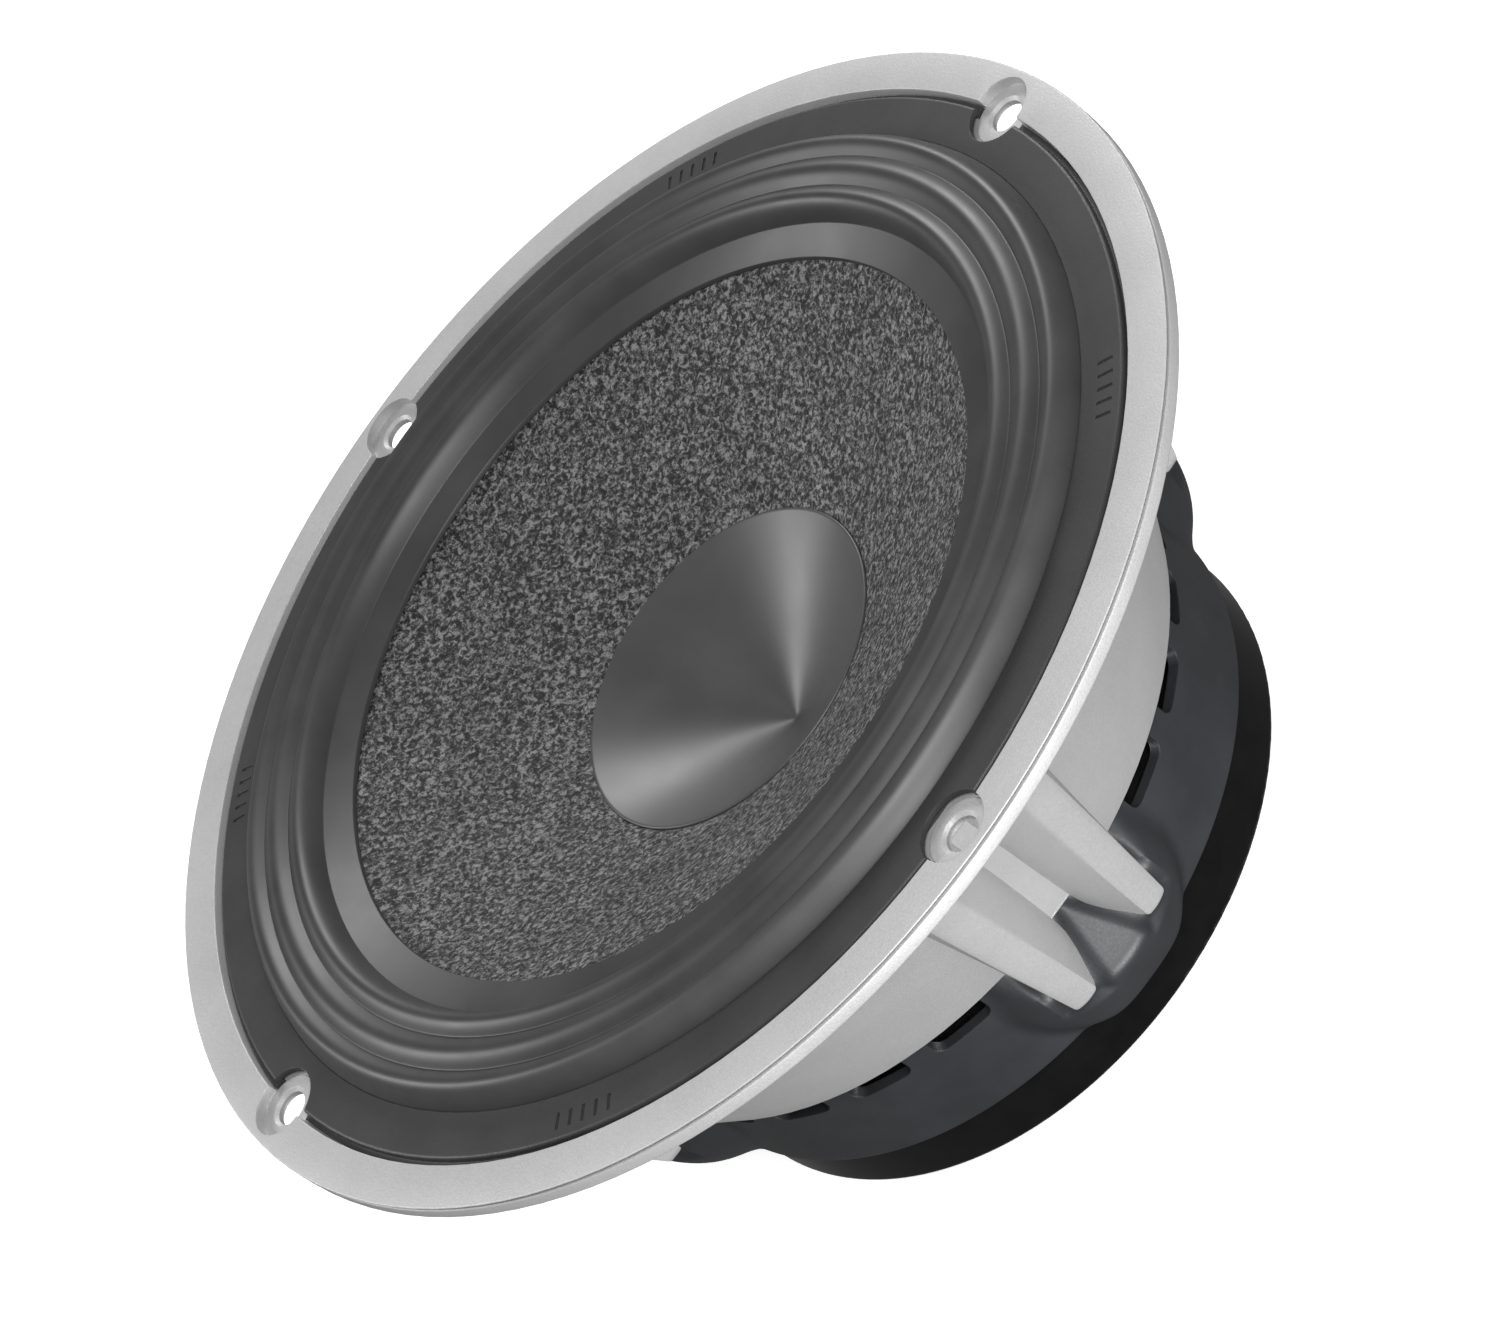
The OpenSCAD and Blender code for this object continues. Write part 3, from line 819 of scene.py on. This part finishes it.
def apply_boolean(obj, other, operation):
    """Joins other to obj or cuts it away, and deletes other."""
    step = obj.modifiers.new("step", "BOOLEAN")
    step.operation = operation
    step.solver = "EXACT"
    step.object = other
    bpy.context.view_layer.update()
    evaluated = obj.evaluated_get(bpy.context.evaluated_depsgraph_get())
    mesh = bpy.data.meshes.new_from_object(evaluated)
    obj.modifiers.clear()
    obj.data = mesh
    bpy.data.objects.remove(other)


def soften(obj, angle):
    """Joins points that a boolean left on top of each other, and shades smooth below that angle."""
    bm = bmesh.new()
    bm.from_mesh(obj.data)
    bmesh.ops.remove_doubles(bm, verts=bm.verts, dist=WELD)
    for face in bm.faces:
        face.smooth = True
    for edge in bm.edges:
        edge.smooth = len(edge.link_faces) == 2 and edge.calc_face_angle(0.0) < math.radians(angle)
    bm.to_mesh(obj.data)
    bm.free()


def copy_casting():
    """A copy of the CAD basket, with its points joined."""
    bm = bmesh.new()
    bm.from_mesh(NODES["basket"].data)
    bmesh.ops.remove_doubles(bm, verts=bm.verts, dist=WELD / 2)
    mesh = bpy.data.meshes.new("basket_casting")
    bm.to_mesh(mesh)
    bm.free()
    return add_object("basket_casting", mesh)


def build_basket():
    """The CAD casting, with its plain ribs cut off and softly moulded ones put on."""
    obj = copy_casting()
    gap = 0.01 * MM                             # keeps the cut just off the face of the drum
    clear_r, clear_z, far_r = 49.5 * MM, -52 * MM, 80 * MM
    outside = [(REGISTER_R + gap, REGISTER_Z), (DRUM_REAR_R + gap, DRUM_REAR_Z - gap),
               (clear_r, DRUM_REAR_Z - gap), (clear_r, clear_z), (far_r, clear_z),
               (far_r, REGISTER_Z)]
    rear = DRUM_REAR_Z + 0.3 * MM
    levels = [BAY_TOP_Z + (rear - BAY_TOP_Z) * i / 12 for i in range(13)]
    floor_line = [(bay_r(z), z) for z in levels]
    bay_cut = floor_line + [(60 * MM, rear), (far_r, rear), (far_r, BAY_TOP_Z)]
    ledge_r, ledge_z = 70 * MM, BAY_TOP_Z + 1.6 * MM
    bay_wall = ([(ledge_r, ledge_z), (ledge_r, BAY_TOP_Z)] + floor_line
                + [(r - BAY_WALL, z) for r, z in reversed(floor_line)]
                + [(bay_r(BAY_TOP_Z) - BAY_WALL, ledge_z)])
    middles = [quarter * math.pi / 2 for quarter in range(4)]
    for middle in middles:
        apply_boolean(obj, sector("cutter", outside, middle, math.radians(20)), "DIFFERENCE")
        apply_boolean(obj, sector("cutter", bay_cut, middle, RIB_ANGLE), "DIFFERENCE")
        apply_boolean(obj, sector("bay", bay_wall, middle, RIB_ANGLE * 1.08), "UNION")
    # the two ribs of a pair can overlap, so each hand has its own union
    for mirror in (False, True):
        verts, faces = [], []
        for middle in middles:
            add_rib(verts, faces, middle + (-RIB_ANGLE if mirror else RIB_ANGLE), mirror)
        apply_boolean(obj, new_object("ribs", verts, faces), "UNION")
    soften(obj, 28)
    finish_piece(obj, "cast_aluminium", CHASSIS, "basket")


# ---------------------------------------------------------------- rear shell

SHELL_FRONT_R = DRUM_REAR_R - 1.8 * MM
SHELL_FRONT_Z = DRUM_REAR_Z - 0.4 * MM
SHELL_REAR_R = 49.5 * MM
SEAM_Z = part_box("vent_shell")[0].z
SHELL_WALL = 1.6 * MM
PLATE_REAR_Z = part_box("top_plate")[0].z
MAGNET_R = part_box("magnet")[1].x
LOBE = (42.2 * MM, -44.9 * MM, 16 * MM)         # radius and height of its centre, and its size
LOBE_RAMP = 0.91                                # how fast it rises out of the front edge
LOBE_TAIL_R = 52.6 * MM                         # radius of its middle at the seam
LOBE_TAIL = 0.727                               # how fast it widens in front of the seam
TROUGH = 1.0 * MM                               # depth of the hollow round each rib's tip
SLOT_W = 9.1 * MM
SLOT_PITCH = 15                                 # degrees from one slot to the next
SLOT_REAR_Z = -42.6 * MM
SLOT_CORNER = 1.5 * MM


def shell_r(azimuth, z):
    """Radius of the outside of the shell: a cone with a soft lobe behind each pair of ribs."""
    behind = SHELL_FRONT_Z - z                  # of the front edge
    plain = SHELL_FRONT_R + (SHELL_REAR_R - SHELL_FRONT_R) * behind / (SHELL_FRONT_Z - SEAM_Z)
    off = (azimuth + math.pi / 4) % (math.pi / 2) - math.pi / 4
    x, y, size = LOBE
    inside = (x * math.cos(off)) ** 2 - x ** 2 - (z - y) ** 2 + size ** 2
    if inside <= 0:
        return plain
    ball = x * math.cos(off) + math.sqrt(inside)
    ramp = SHELL_FRONT_R + LOBE_RAMP * behind
    tail = LOBE_TAIL_R + LOBE_TAIL * (z - SEAM_Z)
    lobe = -soft_max(soft_max(-ball, -ramp, 1.0 * MM), -tail, 1.0 * MM)
    side = abs(lobe * math.sin(off))            # from the middle of the pair
    rib = lobe * math.sin(RIB_ANGLE)
    back = clamp(behind / (9 * MM))
    away = max(rib - RIB_HALF - 3.0 * MM * (1 - back) - side, side - rib - RIB_HALF - 0.4 * MM,
               RIB_TIP_Z - 0.3 * MM - z)        # from the hollow, which follows the rib
    trough = TROUGH * (1 - ease(away / (1.5 * MM)))
    return soft_max(lobe - trough, plain, 1.8 * MM)


def slot_cutters():
    """The sixteen vent slots, four between two lobes, as one mesh."""
    verts, faces = [], []
    front = SHELL_FRONT_Z + 1 * MM
    half = SLOT_W / 2
    corner_y, corner_z = half - SLOT_CORNER, SLOT_REAR_Z + SLOT_CORNER
    outline = [(half, front), (-half, front)]
    outline += arc(-corner_y, corner_z, SLOT_CORNER, 180, 270)
    outline += arc(corner_y, corner_z, SLOT_CORNER, 270, 360)
    for quarter in range(4):
        for k in range(4):
            a = math.radians(90 * quarter + 45 + SLOT_PITCH * (k - 1.5))
            start = len(verts)
            verts += [around(a, r, z, y) for r in (46.8 * MM, 56 * MM) for y, z in outline]
            skin(faces, start, len(outline), 2)
    return new_object("slots", verts, faces)


def build_shell():
    """The grey cover round the motor, with its lobes and its vent slots."""
    segments, rows = 720, 48
    lip = 0.3 * MM                              # rounds the rear edge, at the seam
    levels = [SHELL_FRONT_Z + (SEAM_Z + lip - SHELL_FRONT_Z) * i / rows for i in range(rows + 1)]
    wall_r = SHELL_REAR_R - SHELL_WALL
    ledge_r = MAGNET_R + 0.2 * MM               # a ledge round the magnet, behind the plate
    inner = [(wall_r, SEAM_Z), (wall_r + 0.3 * MM, PLATE_REAR_Z - 4 * MM),
             (ledge_r, PLATE_REAR_Z - 1.8 * MM), (ledge_r, PLATE_REAR_Z),
             (wall_r + 0.6 * MM, PLATE_REAR_Z), (SHELL_FRONT_R - SHELL_WALL, SHELL_FRONT_Z)]
    verts, faces = [], []
    for k in range(segments):
        a = 2 * math.pi * k / segments
        outline = [(shell_r(a, z), z) for z in levels]
        edge = shell_r(a, SEAM_Z)
        outline += [(edge - 0.05 * MM, SEAM_Z + 0.12 * MM), (edge - lip, SEAM_Z)] + inner
        verts += [around(a, r, z) for r, z in outline]
    skin(faces, 0, len(outline), segments, closed=True)
    obj = new_object("vent_shell_body", verts, faces)
    apply_boolean(obj, slot_cutters(), "DIFFERENCE")
    soften(obj, 35)
    finish_piece(obj, "shell_plastic", CHASSIS, "vent_shell")


# ---------------------------------------------------------------- all the new pieces

build_surround()
build_cone()
build_dust_cap()
build_spider()
build_lead("lead_pos", LEAD_OFFSET)
build_lead("lead_neg", -LEAD_OFFSET)
build_basket()
build_shell()

# ---------------------------------------------------------------- floor, light and camera

VIEW_TARGET = Vector((1.6, -23.5, 0.0)) * MM    # where the line of sight meets z = 0
VIEW_DISTANCE = 0.546
VIEW_AZIMUTH = -90.49                           # of the camera, seen from the target
VIEW_ELEVATION = 35.32
VIEW_ROLL = -53.95
LENS = 107.85
SENSOR_W = 36
FLOOR_HALF = 6.0                                # half the side of the floor
WORLD_STRENGTH = 0.17
# azimuth and elevation in degrees, distance and size in metres, power in watts
SOFTBOXES = {
    "key": (-84, 40, 0.58, 0.22, 3.4),
    "side": (-90, -1, 0.62, 0.10, 4.4),
    "back_left": (136, 33, 0.9, 0.30, 4.0),
    "back_right": (50, 28, 0.9, 0.30, 4.5),
}


def direction(azimuth, elevation):
    """A unit vector from the driver, at those angles in degrees."""
    a, e = math.radians(azimuth), math.radians(elevation)
    return Vector((math.cos(e) * math.cos(a), math.cos(e) * math.sin(a), math.sin(e)))


def make_camera():
    """The camera that took the photo."""
    data = bpy.data.cameras.new("camera")
    data.lens = LENS
    data.sensor_width = SENSOR_W
    data.clip_start = 0.01
    data.clip_end = 50
    back = direction(VIEW_AZIMUTH, VIEW_ELEVATION)
    obj = add_object("camera", data)
    level = back.to_track_quat("Z", "Y").to_matrix()
    turned = level @ Matrix.Rotation(math.radians(VIEW_ROLL), 3, "Z")
    obj.matrix_world = Matrix.Translation(VIEW_TARGET + VIEW_DISTANCE * back) @ turned.to_4x4()
    bpy.context.scene.camera = obj


def make_floor():
    """A plain white floor that glows a little, as a lit backdrop does."""
    n = Nodes("floor")
    n.colour(n.mottle(n.noise(0.4, 2), 0.90, 0.92))
    n.value(Roughness=0.8, Specular_IOR_Level=0.2)
    n.value(Emission_Color=rgba(1), Emission_Strength=0.45)
    z = FLOOR_Z - 0.05 * MM
    corners = [(x * FLOOR_HALF, y * FLOOR_HALF, z) for x, y in ((-1, -1), (1, -1), (1, 1), (-1, 1))]
    obj = new_object("floor", corners, [[0, 1, 2, 3]])
    obj.data.materials.append(n.material)
    obj.visible_diffuse = False                 # it stays out of bounced light
    obj.visible_glossy = False                  # and out of reflections


def softbox(name, azimuth, elevation, distance, size, power):
    """A square area light that points at the driver."""
    data = bpy.data.lights.new(name, "AREA")
    data.size = size
    data.energy = power
    obj = add_object(name, data)
    away = direction(azimuth, elevation)
    obj.location = away * distance
    obj.rotation_euler = away.to_track_quat("Z", "Y").to_euler()


def make_light():
    """An even grey world, and the softboxes."""
    world = bpy.data.worlds.new("studio")
    bpy.context.scene.world = world
    world.use_nodes = True
    background = world.node_tree.nodes["Background"]
    background.inputs["Color"].default_value = rgba(1)
    background.inputs["Strength"].default_value = WORLD_STRENGTH
    for name, settings in SOFTBOXES.items():
        softbox(name, *settings)
    bpy.context.scene.view_settings.view_transform = "Standard"


make_camera()
make_floor()
make_light()
